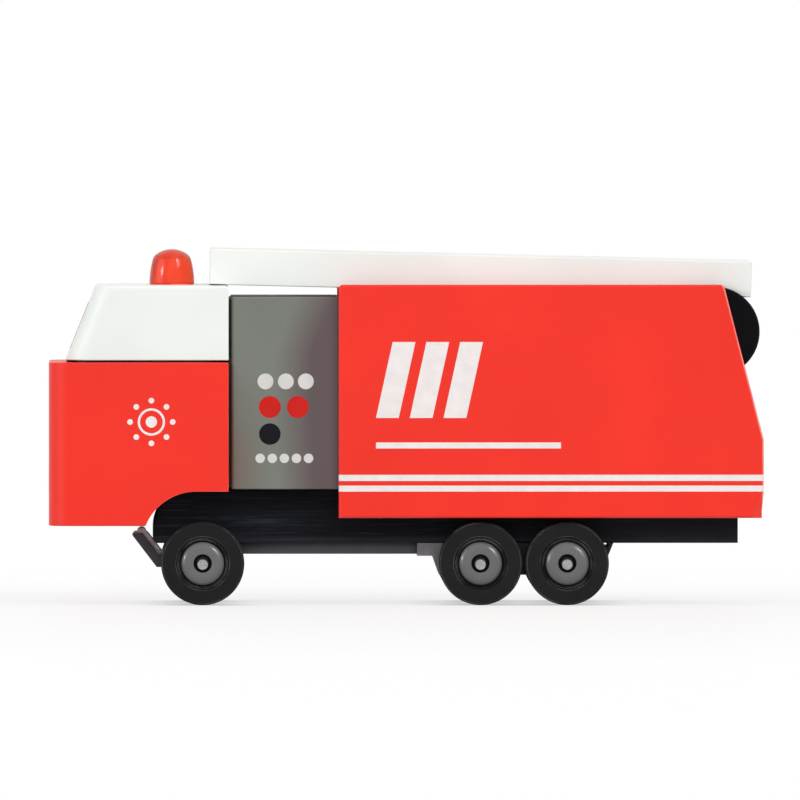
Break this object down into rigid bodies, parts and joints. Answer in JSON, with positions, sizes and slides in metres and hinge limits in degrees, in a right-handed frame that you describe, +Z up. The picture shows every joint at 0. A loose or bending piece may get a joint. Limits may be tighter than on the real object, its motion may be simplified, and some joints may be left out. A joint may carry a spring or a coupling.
{
  "type": "toy fire engine",
  "caption": "Wooden toy fire engine: block cab with a beacon, pump block, panelled body, hinged boom and loose-turning wheels.",
  "frame": {"origin": "middle of the footprint at the floor, under the wheels", "axes": "the cab faces -X, +Z is up, +Y is the vehicle's right side"},
  "size_m": [0.2146, 0.066, 0.1069],
  "materials": {
    "red_paint": "satin red paint over fine-grained hardwood",
    "white_paint": "satin white paint over fine-grained hardwood",
    "boom_paint": "satin white paint over fine-grained hardwood",
    "grey_paint": "satin silver-grey paint over fine-grained hardwood",
    "black_paint": "smooth black paint over hardwood",
    "black_stain": "black stain with open grain",
    "beacon_plastic": "clear red-orange, polished",
    "undercarriage_plastic": "dark grey moulded plastic",
    "tyre_rubber": "matt black, smooth tread",
    "hub_plastic": "glossy mid grey",
    "steel": "plain bright steel pin"
  },
  "bodies": {
    "root": {"chassis": "black_stain", "cab_lower": "red_paint", "cab_upper": "white_paint", "beacon": "beacon_plastic", "pump_block": "grey_paint", "body_core": "red_paint", "body_panel_left": "red_paint", "body_panel_right": "red_paint", "pivot_pin": "steel", "undercarriage": "undercarriage_plastic", "axle_front": "steel", "axle_middle": "steel", "axle_rear": "steel"},
    "boom": {"boom": "boom_paint", "boom_drum": "black_paint"},
    "wheel_front_left": {"tyre_front_left": "tyre_rubber", "hub_front_left": "hub_plastic"},
    "wheel_front_right": {"tyre_front_right": "tyre_rubber", "hub_front_right": "hub_plastic"},
    "wheel_middle_left": {"tyre_middle_left": "tyre_rubber", "hub_middle_left": "hub_plastic"},
    "wheel_middle_right": {"tyre_middle_right": "tyre_rubber", "hub_middle_right": "hub_plastic"},
    "wheel_rear_left": {"tyre_rear_left": "tyre_rubber", "hub_rear_left": "hub_plastic"},
    "wheel_rear_right": {"tyre_rear_right": "tyre_rubber", "hub_rear_right": "hub_plastic"}
  },
  "joints": [
    {"name": "boom_lift", "type": "hinge", "parent": "root", "child": "boom", "pos_m": [0.09267, 0, 0.08205], "axis": [0, 1, 0], "range_deg": [0, 90]},
    {"name": "wheel_front_left_spin", "type": "hinge", "parent": "root", "child": "wheel_front_left", "pos_m": [-0.06107, -0.0255, 0.0125], "axis": [0, 1, 0], "continuous": true},
    {"name": "wheel_front_right_spin", "type": "hinge", "parent": "root", "child": "wheel_front_right", "pos_m": [-0.06107, 0.0255, 0.0125], "axis": [0, 1, 0], "continuous": true},
    {"name": "wheel_middle_left_spin", "type": "hinge", "parent": "root", "child": "wheel_middle_left", "pos_m": [0.02233, -0.0255, 0.0125], "axis": [0, 1, 0], "continuous": true},
    {"name": "wheel_middle_right_spin", "type": "hinge", "parent": "root", "child": "wheel_middle_right", "pos_m": [0.02233, 0.0255, 0.0125], "axis": [0, 1, 0], "continuous": true},
    {"name": "wheel_rear_left_spin", "type": "hinge", "parent": "root", "child": "wheel_rear_left", "pos_m": [0.04838, -0.0255, 0.0125], "axis": [0, 1, 0], "continuous": true},
    {"name": "wheel_rear_right_spin", "type": "hinge", "parent": "root", "child": "wheel_rear_right", "pos_m": [0.04838, 0.0255, 0.0125], "axis": [0, 1, 0], "continuous": true}
  ]
}
